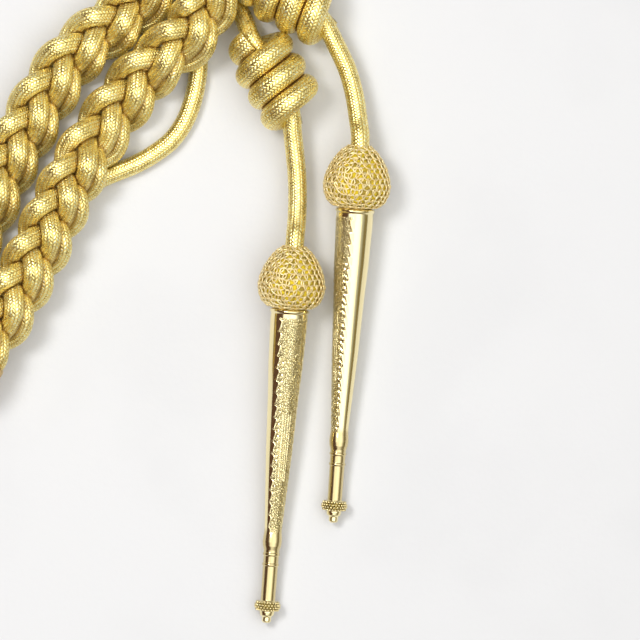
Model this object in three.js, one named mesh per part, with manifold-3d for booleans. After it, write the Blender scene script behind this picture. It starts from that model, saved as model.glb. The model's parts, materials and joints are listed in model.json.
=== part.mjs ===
// The lower end of a gold wire-cord aiguillette, laid flat: two three-strand plaits side by side, a plain
// cord that bows out beside them, and two corded tags, each with a barrel knot and a net cap.
// Millimetres, +Z up. The object lies on z = 0, and its box is centred on the origin.
import * as THREE from "three";
import { mergeVertices } from "three/addons/utils/BufferGeometryUtils.js";
import Module from "manifold-3d";

const wasm = await Module();
wasm.setup();

// Cord
const CORD = 6.2; // diameter of a single gold cord
const CORD_SIDES = 8;
const CORD_STEP = 6.4; // length of tube between two sections
const GAP = 0.3; // between pieces that touch
const ON_FLOOR = CORD / 2 + 0.05; // height of a lying cord's middle

// Plait: each strand is two cords, one over the other, that fan out at the plait's outer edge. The strands are
// pressed into one another, so that a plait is one solid.
const STRANDS = 3;
const FLAT_WIDTH = 6.6; // a plaited cord is pulled flat
const FLAT_HEIGHT = 4.4;
const SWING = 5.2; // from the plait's centre line to a strand's upper cord, at a turn
const FAN = THREE.MathUtils.degToRad(60); // the lower cord's swing past the upper one at the outer edge
const WEAVE = 3.7; // rise and fall of a strand
const PLAIT_MIDDLE = 9.9; // height of the upper cord at a turn, which lays the lowest cord on the surface
const PLAIT_TOP = PLAIT_MIDDLE + WEAVE + FLAT_HEIGHT / 2;
const STEPS_A_BIGHT = 3.6;
const LOBE_ANGLES = [-100, -36, 36, 100].map(THREE.MathUtils.degToRad);

// The outer plait rides over the plain cord near both ends, and lies on the surface between
const RIDE = CORD + GAP;
const RIDE_BIGHTS = { down: 1.15, low: 2.6, rise: 3.7, up: 5.0 };

// Centre lines of the plaits: a point for each bight of the outer edge, the first for bight `first`
const OUTER_PLAIT = {
  first: -2,
  from: -1.5,
  to: 10,
  line: [
    [68.3, 26.0],
    [67.7, 12.0],
    [67.0, -1.7],
    [60.7, -12.0],
    [48.7, -22.0],
    [39.7, -32.7],
    [31.3, -44.7],
    [24.0, -57.0],
    [18.0, -69.0],
    [12.3, -81.3],
    [6.3, -93.3],
    [-0.3, -105.0],
    [-8.3, -115.7],
  ],
};
const INNER_PLAIT = {
  first: -1,
  from: -0.35,
  to: 9,
  line: [
    [51.6, 12.8],
    [45.7, 0.8],
    [35.4, -7.7],
    [24.0, -17.0],
    [15.0, -29.1],
    [7.7, -41.9],
    [1.0, -54.3],
    [-5.0, -67.0],
    [-11.0, -79.7],
    [-17.9, -91.7],
    [-25.7, -102.1],
  ],
};

// Plain finish of the plaits' ends
const OUTER_COLLAR = { width: 26, height: 25.6, length: 10, aside: -1.2, corner: 9 };
const INNER_COLLAR = { width: 19, height: PLAIT_TOP, length: 6, aside: -0.9, corner: 6 };
const BAND = { width: 43, height: 25.6, length: 12, aside: -8.4, corner: 9 };
const CORNER_POINTS = 4;

// The plain cord's route, from the outer collar under the plait, out in a bow and back under to the band
const PLAIN_CORD_ROUTE = [
  [61.2, 18.6, ON_FLOOR],
  [61.5, 12.0, ON_FLOOR],
  [63.3, 3.0, ON_FLOOR],
  [65.2, -6.0, ON_FLOOR],
  [66.1, -14.5, ON_FLOOR],
  [66.2, -22.0, ON_FLOOR],
  [65.5, -28.3, ON_FLOOR],
  [63.9, -34.9, ON_FLOOR],
  [61.2, -41.3, ON_FLOOR],
  [57.0, -47.0, ON_FLOOR],
  [51.3, -51.4, ON_FLOOR],
  [45.7, -54.6, ON_FLOOR],
  [40.0, -57.0, ON_FLOOR],
  [34.8, -59.1, ON_FLOOR],
  [29.8, -62.0, ON_FLOOR],
  [25.0, -66.4, ON_FLOOR],
  [20.6, -72.4, ON_FLOOR],
  [15.6, -80.6, ON_FLOOR],
  [10.2, -89.8, ON_FLOOR],
  [4.6, -99.2, ON_FLOOR],
  [-1.6, -108.0, ON_FLOOR],
  [-7.6, -116.2, ON_FLOOR],
];

// Knots: fat wraps of cord round the tail cord, their ends tucked in
const KNOT_LEAD = 8.1; // along the knot's axis for one wrap
const KNOT_RADIUS = 11.5;
const KNOT_SKEW = 0.3; // how far a wrap is pushed askew at each side
const KNOT_TURNS = { from: -0.72, to: 2.78 }; // a whole number is a wrap's upper right side
const KNOT_TUCK = { depth: 3.4, start: 0.55, end: 0.3 }; // how far an end goes in, and over how many turns
const KNOT_STEPS_A_TURN = 11;
const KNOT_SIDES = 8;
const KNOT_CORE = CORD / 2 + GAP;
const WRAP_WIDTH = KNOT_LEAD - GAP;

// Net caps and tags, measured along the tag's axis from the cap's top
const CAP_LENGTH = 20.3;
const CAP_RADIUS = 11.3;
const TAG_LENGTH = 105.3;
const RIM_RADIUS = 6.6;
const BUTTON_RADIUS = 4.45;
const ROUND_SIDES = 14;
// Cap outline: shares of its length and of its largest radius
const CAP_PROFILE = [
  { along: 0.0, out: 0.36 },
  { along: 0.07, out: 0.53 },
  { along: 0.18, out: 0.69 },
  { along: 0.34, out: 0.86 },
  { along: 0.5, out: 0.96 },
  { along: 0.63, out: 1.0 },
  { along: 0.77, out: 0.97 },
  { along: 0.9, out: 0.87 },
  { along: 0.98, out: 0.7 },
  { along: 1.0, out: 0.5 },
];
// Tag outline: shares of its length and of its rim's radius
const TAG_PROFILE = [
  { along: 0.0, out: 0.94 },
  { along: 0.006, out: 1.0 },
  { along: 0.013, out: 0.95 },
  { along: 0.038, out: 0.945 },
  { along: 0.177, out: 0.88 },
  { along: 0.278, out: 0.785 },
  { along: 0.462, out: 0.665 },
  { along: 0.563, out: 0.57 },
  { along: 0.665, out: 0.47 },
  { along: 0.712, out: 0.44 },
  { along: 0.735, out: 0.475 },
  { along: 0.755, out: 0.475 },
  { along: 0.768, out: 0.4 },
  { along: 0.782, out: 0.425 },
  { along: 0.797, out: 0.39 },
  { along: 0.813, out: 0.42 },
  { along: 0.828, out: 0.385 },
  { along: 0.93, out: 0.365 },
];
// The tag's button, cup and tip: shares of its length and of the button's radius
const BUTTON_PROFILE = [
  { along: 0.934, out: 0.9 },
  { along: 0.942, out: 1.0 },
  { along: 0.951, out: 1.0 },
  { along: 0.958, out: 0.84 },
  { along: 0.972, out: 0.66 },
  { along: 0.98, out: 0.36 },
  { along: 0.994, out: 0.34 },
  { along: 1.0, out: 0.24 },
];
const BUTTON_MIDDLE = 0.9465;
const CAP_WIDEST = 0.63;

// Each corded tag: where its cap's top and its tip lie, its knot's first whole wrap and heading, and the
// cord's route up to the knot and down from it (the stretch inside the knot follows the knot's axis)
const TAILS = [
  {
    name: "left",
    capTop: [98.2, -82.4],
    tip: [88.7, -208.0],
    knot: [88.2, -20.4],
    heading: [0.512, -0.859],
    intoKnot: [
      [68.4, 18.6, ON_FLOOR],
      [68.8, 13.6, ON_FLOOR],
      [71.8, 7.4, ON_FLOOR],
      [75.6, 2.3, ON_FLOOR],
      [79.2, -2.6, 4.4],
      [81.7, -7.4, 7.6],
    ],
    outOfKnot: [
      [98.4, -43.4, 10.6],
      [97.9, -50.4, 9.2],
      [98.5, -58.0, 8.4],
      [98.8, -66.0, 8.6],
      [98.7, -74.0, 10.2],
    ],
  },
  {
    name: "right",
    capTop: [119.8, -49.0],
    tip: [111.0, -174.3],
    knot: [90.8, 3.6],
    heading: [0.883, -0.469],
    intoKnot: [
      [75.8, 18.5, ON_FLOOR],
      [76.1, 14.9, ON_FLOOR],
      [78.7, 10.1, 4.7],
    ],
    outOfKnot: [
      [112.0, -13.4, 10.2],
      [115.3, -20.4, 9.0],
      [117.6, -28.2, 8.8],
      [119.0, -36.4, 9.8],
    ],
  },
];

const GOLD_CORD = new THREE.MeshStandardMaterial({ color: 0xd9b45a, roughness: 0.4, metalness: 0.75 });
const PLAIN_GOLD = new THREE.MeshStandardMaterial({ color: 0xc9a24e, roughness: 0.5, metalness: 0.6 });
const NET_GOLD = new THREE.MeshStandardMaterial({ color: 0xe0c65a, roughness: 0.45, metalness: 0.6 });
const BRASS = new THREE.MeshStandardMaterial({ color: 0xd8bf7a, roughness: 0.2, metalness: 1.0 });

const UP = new THREE.Vector3(0, 0, 1);

function named(name, geometry, material) {
  const mesh = new THREE.Mesh(geometry, material);
  mesh.name = name;
  return mesh;
}

function point([x, y, z = 0]) {
  return new THREE.Vector3(x, y, z);
}

// A closed skin over rings of points that turn anticlockwise seen along the way they follow each other
function loft(rings) {
  const sides = rings[0].length;
  const middle = (ring) => ring.reduce((sum, p) => sum.add(p), new THREE.Vector3()).divideScalar(sides);
  const points = [...rings.flat(), middle(rings[0]), middle(rings.at(-1))];
  const start = rings.length * sides;
  const last = start - sides;
  const faces = [];
  for (let side = 0; side < sides; side++) {
    const next = (side + 1) % sides;
    for (let a = 0; a < last; a += sides) {
      faces.push(a + side, a + next, a + next + sides);
      faces.push(a + side, a + next + sides, a + side + sides);
    }
    faces.push(start, next, side);
    faces.push(start + 1, last + side, last + next);
  }
  const geometry = new THREE.BufferGeometry().setFromPoints(points);
  geometry.setIndex(faces);
  geometry.computeVertexNormals();
  return geometry;
}

// The centre line of a plait: where it is at a bight, its heading there and the way across to its outer edge
function plaitFrame(plait, bight) {
  const curve = new THREE.CatmullRomCurve3(plait.line.map(point), false, "catmullrom", 0.5);
  const t = (bight - plait.first) / (plait.line.length - 1);
  const along = curve.getTangent(t);
  const step = 0.01 / (plait.line.length - 1);
  const reach = curve.getPoint(t + step).distanceTo(curve.getPoint(t - step));
  return { at: curve.getPoint(t), along, across: UP.clone().cross(along), bightLength: reach / 0.02 };
}

function outerPlaitRide(bight) {
  const { down, low, rise, up } = RIDE_BIGHTS;
  const leaving = 1 - THREE.MathUtils.smoothstep(bight, down, low);
  return RIDE * Math.max(leaving, THREE.MathUtils.smoothstep(bight, rise, up));
}

// One section of a strand, in a plane square to the plait's centre line: a lobe for each of its two cords
function strandRing(plait, strand, bight, ride) {
  const frame = plaitFrame(plait, bight);
  const phase = (2 * Math.PI * (bight - strand)) / STRANDS;
  const slope = (-SWING * Math.sin(phase) * 2 * Math.PI) / STRANDS / frame.bightLength;
  const halfWidth = (FLAT_WIDTH / 2) * Math.hypot(1, slope);
  const halfHeight = FLAT_HEIGHT / 2;
  const fan = FAN * (0.5 + 0.5 * Math.cos(phase));
  const upper = {
    across: SWING * Math.cos(phase),
    height: PLAIT_MIDDLE - WEAVE * Math.sin(2 * phase) + ride,
  };
  const lower = {
    across: upper.across + FLAT_HEIGHT * Math.sin(fan),
    height: upper.height - FLAT_HEIGHT * Math.cos(fan),
  };
  const away = Math.atan2(Math.cos(fan) / halfHeight, -Math.sin(fan) / halfWidth);
  const lobe = (cord, turn) =>
    LOBE_ANGLES.map((angle) => {
      const across = cord.across + halfWidth * Math.cos(away + turn + angle);
      const height = cord.height + halfHeight * Math.sin(away + turn + angle);
      return frame.at.clone().addScaledVector(frame.across, across).addScaledVector(UP, height);
    });
  return [...lobe(upper, 0), ...lobe(lower, Math.PI)];
}

function plaitStrand(plait, strand, rideAt) {
  const steps = Math.round((plait.to - plait.from) * STEPS_A_BIGHT);
  const rings = [];
  for (let i = 0; i <= steps; i++) {
    const bight = plait.from + ((plait.to - plait.from) * i) / steps;
    rings.push(strandRing(plait, strand, bight, rideAt(bight)));
  }
  return loft(rings);
}

// A block with round corners that stands across a plait's end, its near face a gap away from the plait
function endBlock(size, plait, bight, way) {
  const frame = plaitFrame(plait, bight);
  const outline = new THREE.Shape();
  const [w, h, r] = [size.width / 2, size.height, size.corner];
  outline.moveTo(-w + r, 0);
  outline.lineTo(w - r, 0);
  outline.absarc(w - r, r, r, -Math.PI / 2, 0);
  outline.lineTo(w, h - r);
  outline.absarc(w - r, h - r, r, 0, Math.PI / 2);
  outline.lineTo(-w + r, h);
  outline.absarc(-w + r, h - r, r, Math.PI / 2, Math.PI);
  outline.lineTo(-w, r);
  outline.absarc(-w + r, r, r, Math.PI, 1.5 * Math.PI);
  const geometry = new THREE.ExtrudeGeometry(outline, {
    depth: size.length,
    bevelEnabled: false,
    curveSegments: CORNER_POINTS / 2, // the curve of an arc gets two points for each segment
  });
  const outwards = frame.along.clone().multiplyScalar(way);
  const side = UP.clone().cross(outwards);
  const place = new THREE.Matrix4().makeBasis(side, UP, outwards);
  place.setPosition(frame.at.clone().addScaledVector(outwards, GAP).addScaledVector(side, size.aside));
  return geometry.applyMatrix4(place);
}

function cordTube(points) {
  const path = new THREE.CatmullRomCurve3(points, false, "centripetal");
  const section = new THREE.Shape().absarc(0, 0, CORD / 2, 0, 2 * Math.PI);
  return new THREE.ExtrudeGeometry(section, {
    steps: Math.round(path.getLength() / CORD_STEP),
    curveSegments: CORD_SIDES / 2, // the curve of an arc gets two points for each segment
    bevelEnabled: false,
    extrudePath: path,
  });
}

// A knot's axis is level, at the height where its wraps touch the surface
function knotAxis(tail) {
  const heading = point(tail.heading).normalize();
  return { heading, side: UP.clone().cross(heading).negate(), at: point([...tail.knot, KNOT_RADIUS]) };
}

function knotWraps(tail) {
  const { heading, side, at } = knotAxis(tail);
  const { from, to } = KNOT_TURNS;
  const steps = Math.round((to - from) * KNOT_STEPS_A_TURN);
  const rings = [];
  for (let i = 0; i <= steps; i++) {
    const turn = from + ((to - from) * i) / steps;
    const startTuck = 1 - THREE.MathUtils.smoothstep(turn, from, from + KNOT_TUCK.start);
    const endTuck = THREE.MathUtils.smoothstep(turn, to - KNOT_TUCK.end, to);
    const thickness = KNOT_RADIUS - KNOT_CORE - KNOT_TUCK.depth * Math.max(startTuck, endTuck);
    const radius = KNOT_CORE + thickness / 2;
    const angle = 2 * Math.PI * turn;
    const out = side.clone().multiplyScalar(-Math.cos(angle)).addScaledVector(UP, Math.sin(angle));
    const round = side.clone().multiplyScalar(Math.sin(angle)).addScaledVector(UP, Math.cos(angle));
    const along = round.multiplyScalar(radius * 2 * Math.PI).addScaledVector(heading, KNOT_LEAD).normalize();
    const flat = out.clone().cross(along);
    const advance = KNOT_LEAD * (turn - 0.25) + KNOT_SKEW * Math.cos(angle);
    const middle = at.clone().addScaledVector(heading, advance).addScaledVector(out, radius);
    const ring = [];
    for (let k = 0; k < KNOT_SIDES; k++) {
      const around = (2 * Math.PI * k) / KNOT_SIDES;
      const p = middle.clone().addScaledVector(flat, (WRAP_WIDTH / 2) * Math.cos(around));
      ring.push(p.addScaledVector(out, (thickness / 2) * Math.sin(around)));
    }
    rings.push(ring);
  }
  return loft(rings);
}

// A tag's axis runs from the cap's top to the tip; the cap and the button touch the surface
function tagAxis(tail) {
  const length = CAP_LENGTH + TAG_LENGTH;
  const level = point(tail.tip).sub(point(tail.capTop)).normalize();
  const restsAt = CAP_LENGTH * CAP_WIDEST;
  const buttonAt = CAP_LENGTH + TAG_LENGTH * BUTTON_MIDDLE;
  const fall = (CAP_RADIUS - BUTTON_RADIUS) / (buttonAt - restsAt);
  const top = point([...tail.capTop, CAP_RADIUS + fall * restsAt]);
  return { top, heading: level.setZ(-fall).normalize(), length };
}

function turned(profile, axis, start, length, radius) {
  const outline = profile.map((p) => new THREE.Vector2(p.out * radius, -(start + p.along * length)));
  outline.unshift(new THREE.Vector2(0, outline[0].y));
  outline.push(new THREE.Vector2(0, outline.at(-1).y));
  const geometry = new THREE.LatheGeometry(outline.reverse(), ROUND_SIDES);
  const side = UP.clone().cross(axis.heading).normalize();
  const place = new THREE.Matrix4().makeBasis(
    side,
    axis.heading.clone().negate(),
    side.clone().cross(axis.heading.clone().negate()),
  );
  place.setPosition(axis.top);
  return geometry.applyMatrix4(place);
}

function tailCord(tail) {
  const { heading, at } = knotAxis(tail);
  const inside = [-1.05, -0.2, 2, 2.75].map((turn) => at.clone().addScaledVector(heading, KNOT_LEAD * turn));
  const axis = tagAxis(tail);
  const end = axis.top.clone().addScaledVector(axis.heading, -GAP);
  const before = axis.top.clone().addScaledVector(axis.heading, -CORD / 2);
  return cordTube([...tail.intoKnot.map(point), ...inside, ...tail.outOfKnot.map(point), before, end]);
}

function corded(tail) {
  const group = new THREE.Group();
  const axis = tagAxis(tail);
  const tagStart = CAP_LENGTH + GAP;
  const length = TAG_LENGTH - GAP;
  const tagOutline = [
    ...TAG_PROFILE.map((p) => ({ along: p.along, out: p.out * RIM_RADIUS })),
    ...BUTTON_PROFILE.map((p) => ({ along: p.along, out: p.out * BUTTON_RADIUS })),
  ];
  group.add(named(`${tail.name}_tail_cord`, tailCord(tail), GOLD_CORD));
  group.add(named(`${tail.name}_knot`, knotWraps(tail), GOLD_CORD));
  group.add(named(`${tail.name}_net_cap`, turned(CAP_PROFILE, axis, 0, CAP_LENGTH, CAP_RADIUS), NET_GOLD));
  group.add(named(`${tail.name}_tag`, turned(tagOutline, axis, tagStart, length, 1), BRASS));
  return group;
}

function solid(geometry) {
  const bare = geometry.clone().deleteAttribute("normal").deleteAttribute("uv");
  const welded = mergeVertices(bare);
  return new wasm.Manifold(
    new wasm.Mesh({
      numProp: 3,
      vertProperties: Float32Array.from(welded.attributes.position.array),
      triVerts: Uint32Array.from(welded.index.array),
    }),
  );
}

function plait(route, rideAt) {
  let whole = solid(plaitStrand(route, 0, rideAt));
  for (let strand = 1; strand < STRANDS; strand++) {
    whole = whole.add(solid(plaitStrand(route, strand, rideAt)));
  }
  const mesh = whole.getMesh();
  const geometry = new THREE.BufferGeometry();
  geometry.setAttribute("position", new THREE.Float32BufferAttribute(mesh.vertProperties, 3));
  geometry.setIndex(Array.from(mesh.triVerts));
  geometry.computeVertexNormals();
  return geometry;
}

const aiguillette = new THREE.Group();
aiguillette.add(named("outer_plait", plait(OUTER_PLAIT, outerPlaitRide), GOLD_CORD));
aiguillette.add(named("inner_plait", plait(INNER_PLAIT, () => 0), GOLD_CORD));
aiguillette.add(named("plain_cord", cordTube(PLAIN_CORD_ROUTE.map(point)), GOLD_CORD));
TAILS.forEach((tail) => aiguillette.add(corded(tail)));
aiguillette.add(named("outer_collar", endBlock(OUTER_COLLAR, OUTER_PLAIT, OUTER_PLAIT.from, -1), PLAIN_GOLD));
aiguillette.add(named("inner_collar", endBlock(INNER_COLLAR, INNER_PLAIT, INNER_PLAIT.from, -1), PLAIN_GOLD));
aiguillette.add(named("shoulder_band", endBlock(BAND, OUTER_PLAIT, OUTER_PLAIT.to, 1), PLAIN_GOLD));

// The box is centred on the origin, with its lowest point on the surface
const box = new THREE.Box3().setFromObject(aiguillette, true);
const centre = box.getCenter(new THREE.Vector3());
aiguillette.position.set(-centre.x, -centre.y, -box.min.z);

export default aiguillette;
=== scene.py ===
"""The lower end of a gold wire-cord aiguillette, laid flat on a pale surface.

Two three-strand plaits lie side by side, a plain cord bows out beside them, and two tail cords run through
barrel knots to net caps and engraved brass tags. Lengths in the tables are millimetres on the sheet that the
object is laid out on; everything that is built is in metres in the part's own frame.
"""

from __future__ import annotations

import json
import logging
import math
from dataclasses import dataclass, field
from enum import Enum
from typing import Sequence

import bpy
import numpy as np
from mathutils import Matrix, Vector
from mathutils.kdtree import KDTree

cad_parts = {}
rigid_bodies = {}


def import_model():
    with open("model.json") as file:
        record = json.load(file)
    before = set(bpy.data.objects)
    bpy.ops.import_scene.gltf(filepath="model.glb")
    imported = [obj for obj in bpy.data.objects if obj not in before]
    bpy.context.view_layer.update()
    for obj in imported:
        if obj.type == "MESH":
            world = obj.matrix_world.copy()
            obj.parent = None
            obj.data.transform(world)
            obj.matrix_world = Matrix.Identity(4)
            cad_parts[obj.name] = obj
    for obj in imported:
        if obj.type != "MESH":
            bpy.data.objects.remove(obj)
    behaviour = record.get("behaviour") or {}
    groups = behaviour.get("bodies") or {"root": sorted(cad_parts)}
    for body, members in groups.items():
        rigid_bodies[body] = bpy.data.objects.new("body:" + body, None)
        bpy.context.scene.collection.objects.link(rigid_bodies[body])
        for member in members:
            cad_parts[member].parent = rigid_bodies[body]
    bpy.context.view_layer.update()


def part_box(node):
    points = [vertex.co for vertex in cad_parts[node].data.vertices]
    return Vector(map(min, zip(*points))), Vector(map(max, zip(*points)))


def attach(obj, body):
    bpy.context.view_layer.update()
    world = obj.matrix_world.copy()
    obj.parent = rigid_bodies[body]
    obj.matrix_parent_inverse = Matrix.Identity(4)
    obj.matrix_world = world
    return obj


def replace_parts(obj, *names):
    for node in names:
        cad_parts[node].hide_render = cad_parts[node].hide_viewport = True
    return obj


LOG = logging.getLogger("aiguillette")
MM = 0.001
UP = np.array([0.0, 0.0, 1.0])

Points = np.ndarray
Socket = bpy.types.NodeSocket
Material = bpy.types.Material
Piece = bpy.types.Object
Value = float | tuple[float, ...] | Socket

# The middle of the outer collar's box on the sheet: what ties the sheet to the part's own frame
COLLAR_ON_SHEET = (69.40, 24.25, 12.80)


class Slot(str, Enum):
    """The record's material slots."""

    CORD = "gold_cord"
    NET = "gold_net"
    BRASS = "tag_brass"
    BRAID = "plain_gold"


def placed(name: str, data: bpy.types.ID) -> Piece:
    """Adds an object to the scene's collection."""
    made = bpy.data.objects.new(name, data)
    bpy.context.scene.collection.objects.link(made)
    return made


def stand_for(piece: Piece, node: str) -> Piece:
    """Puts a piece on the part's one body, in place of a CAD node."""
    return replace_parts(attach(piece, "root"), node)


# Curves and frames


def unit(vectors: Points) -> Points:
    """Scales vectors to length one.

    Args:
        vectors: one vector, or rows of them.

    Returns:
        The unit vectors, in the same shape.
    """
    return vectors / np.linalg.norm(vectors, axis=-1, keepdims=True)


def spline(points: Sequence[Sequence[float]], shares: Points, centripetal: bool = False) -> Points:
    """Follows a Catmull-Rom curve through points.

    Args:
        points: the points that the curve passes through.
        shares: where to sample it, 0 at the first point and 1 at the last, equal shares to each span.
        centripetal: whether the spans are weighted by the root of their length.

    Returns:
        The sampled points.
    """
    p = np.array([tuple(q) + (0.0,) * (3 - len(q)) for q in points], float)
    p = np.vstack([2 * p[0] - p[1], p, 2 * p[-1] - p[-2]])
    place = np.clip(shares, 0.0, 1.0) * (len(points) - 1)
    span = np.minimum(place.astype(int), len(points) - 2)
    w = (place - span)[:, None]
    a, b, c, d = (p[span + k] for k in range(4))
    if centripetal:
        ab, bc, cd = (np.sqrt(np.linalg.norm(t - s, axis=1))[:, None] for s, t in ((a, b), (b, c), (c, d)))
        leave = ((b - a) / ab - (c - a) / (ab + bc) + (c - b) / bc) * bc
        arrive = ((c - b) / bc - (d - b) / (bc + cd) + (d - c) / cd) * bc
    else:
        leave, arrive = (c - a) / 2, (d - b) / 2
    return b + leave * w + (3 * (c - b) - 2 * leave - arrive) * w**2 + (2 * (b - c) + leave + arrive) * w**3


def lengths(path: Points) -> Points:
    """Measures a path.

    Args:
        path: the points of a polyline.

    Returns:
        The distance from the first point to each point, along the path.
    """
    return np.concatenate([[0.0], np.cumsum(np.linalg.norm(np.diff(path, axis=0), axis=1))])


def respaced(path: Points, step: float, *along: Points) -> list[Points]:
    """Resamples a path, and what varies along it, at equal distances.

    Args:
        path: the points of a polyline.
        step: about how far apart the new points are.
        *along: values at each point, which are resampled with it.

    Returns:
        The new path, then each of the resampled values.
    """
    at = lengths(path)
    new = np.linspace(0.0, at[-1], max(3, int(round(at[-1] / step))))
    return [np.apply_along_axis(lambda column: np.interp(new, at, column), 0, c) for c in (path, *along)]


def level_frames(path: Points) -> tuple[Points, Points]:
    """Frames along a path that never turn over.

    Args:
        path: the points of a polyline that nowhere runs straight up.

    Returns:
        The level direction across the path at each point, and the one above it.
    """
    heading = unit(np.gradient(path, axis=0))
    across = unit(np.cross(UP, heading))
    return across, np.cross(heading, across)


# Meshes


@dataclass
class MeshData:
    """Vertices, faces and per-corner UVs, gathered until they become an object."""

    points: list[Points] = field(default_factory=list)
    faces: list[Points] = field(default_factory=list)
    caps: list[list[int]] = field(default_factory=list)
    uvs: list[Points] = field(default_factory=list)
    cap_uvs: list[list[tuple[float, float]]] = field(default_factory=list)
    marks: list[Points] = field(default_factory=list)
    count: int = 0

    def add_tube(self, rings: Points, u: Points, marks: Points | None = None) -> None:
        """Adds a skin over rings of points, with a face over each end.

        Args:
            rings: points by ring and by place round the ring, anticlockwise seen along the tube.
            u: the UV's first value for each ring; its second goes from 0 to 1 round the ring.
            marks: a number for each point, kept as the mesh's "mark" attribute.
        """
        n, m, _ = rings.shape
        i, j = np.meshgrid(np.arange(n - 1), np.arange(m), indexing="ij")
        k = (j + 1) % m
        base = self.count
        quads = np.stack([i * m + j, i * m + k, (i + 1) * m + k, (i + 1) * m + j], axis=-1).reshape(-1, 4)
        corners = ((i, j), (i, j + 1), (i + 1, j + 1), (i + 1, j))
        uv = np.stack([np.stack([u[ring], side / m], -1) for ring, side in corners], axis=2).reshape(-1, 2)
        self.points.append(rings.reshape(-1, 3))
        self.faces.append(quads + base)
        self.uvs.append(uv)
        self.marks.append(np.zeros(n * m) if marks is None else marks.reshape(-1))
        for ring, order in ((0, -1), (n - 1, 1)):
            self.caps.append([base + ring * m + q for q in range(m)][::order])
            self.cap_uvs.append([(float(u[ring]), 0.5)] * m)
        self.count += n * m

    def build(self, name: str, material: Material) -> Piece:
        """Makes the object.

        Args:
            name: the object's name.
            material: its material.

        Returns:
            The new object, smooth shaded, in the scene's collection.
        """
        points = np.vstack(self.points)
        faces = np.vstack(self.faces)
        mesh = bpy.data.meshes.new(name)
        mesh.from_pydata(points.tolist(), [], faces.tolist() + self.caps)
        layer = mesh.uv_layers.new(name="UVMap")
        uv = np.vstack([*self.uvs, *(np.array(cap) for cap in self.cap_uvs)])
        layer.data.foreach_set("uv", uv.astype(np.float32).ravel())
        attribute = mesh.attributes.new("mark", "FLOAT", "POINT")
        attribute.data.foreach_set("value", np.concatenate(self.marks).astype(np.float32))
        mesh.materials.append(material)
        mesh.shade_smooth()
        mesh.update()
        LOG.info("%s: %d faces", name, len(faces))
        return placed(name, mesh)


def swept_rings(
    path: Points, across: Points, above: Points, half_width: Points, half_height: Points, sides: int
) -> Points:
    """Ovals along a path.

    Args:
        path: the middle of each oval.
        across: the direction of each oval's width.
        above: the direction of each oval's height.
        half_width: half of each oval's width.
        half_height: half of each oval's height.
        sides: how many points go round an oval.

    Returns:
        The rings, by oval and by place round it.
    """
    turn = 2 * np.pi * np.arange(sides) / sides
    out = across[:, None] * (half_width[:, None] * np.cos(turn))[..., None]
    rise = above[:, None] * (half_height[:, None] * np.sin(turn))[..., None]
    return path[:, None] + out + rise


def smoothstep(x: Points, low: float, high: float) -> Points:
    """A smooth step from 0 at low to 1 at high."""
    t = np.clip((np.asarray(x, float) - low) / (high - low), 0.0, 1.0)
    return t * t * (3 - 2 * t)


# Painted shade in the crevices between cords is full where skins touch and fades out where they are free.
# Skins nearer than the first gap count as touching, and further apart than the second as free, in millimetres
TOUCHING, FREE = 0.25, 1.1
# Skin nearer than this along the same cord is its own
OWN_STRETCH = 12.0


def nearness(skins: Sequence[Points], along: Sequence[Points]) -> list[Points]:
    """Finds how near each point of a skin is to other skin, which sets where shade is painted between cords.

    Args:
        skins: each cord's rings of points, in millimetres.
        along: the distance of each ring along its cord.

    Returns:
        For each cord, a value by ring and place round it: 1 where skins touch and 0 where they are free.
    """
    sizes = [rings.shape[0] * rings.shape[1] for rings in skins]
    owner = np.repeat(np.arange(len(skins)), sizes).tolist()
    place = np.concatenate([np.repeat(a, rings.shape[1]) for a, rings in zip(along, skins)]).tolist()
    points = np.vstack([rings.reshape(-1, 3) for rings in skins]).tolist()
    tree = KDTree(len(points))
    for index, point in enumerate(points):
        tree.insert(point, index)
    tree.balance()
    gaps = []
    for index, point in enumerate(points):
        mine, here, gap = owner[index], place[index], FREE
        for _, other, distance in tree.find_range(point, FREE):
            if distance < gap and (owner[other] != mine or abs(place[other] - here) > OWN_STRETCH):
                gap = distance
        gaps.append(gap)
    near = 1 - smoothstep(np.array(gaps), TOUCHING, FREE)
    parts = np.split(near, np.cumsum(sizes)[:-1])
    return [part.reshape(rings.shape[:2]) for part, rings in zip(parts, skins)]


# Materials


class NodeGraph:
    """A node tree, built a node at a time."""

    def __init__(self, tree: bpy.types.NodeTree) -> None:
        """Empties the tree."""
        self.tree = tree
        self.tree.nodes.clear()

    def add(self, kind: str, inputs: dict, output: int | str = 0, **settings: object) -> Socket:
        """Adds a node.

        Args:
            kind: the node's type.
            inputs: a value or a socket for each named or numbered input.
            output: which output to return.
            **settings: the node's own properties.

        Returns:
            The chosen output.
        """
        node = self.tree.nodes.new(kind)
        for key, value in settings.items():
            setattr(node, key, value)
        for key, value in inputs.items():
            if isinstance(value, Socket):
                self.tree.links.new(value, node.inputs[key])
            else:
                node.inputs[key].default_value = value
        return node.outputs[output]

    def close(self, kind: str, name: str, end: Socket) -> None:
        """Adds the tree's output node and links its named input."""
        out = self.tree.nodes.new(kind)
        self.tree.links.new(end, out.inputs[name])


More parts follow.
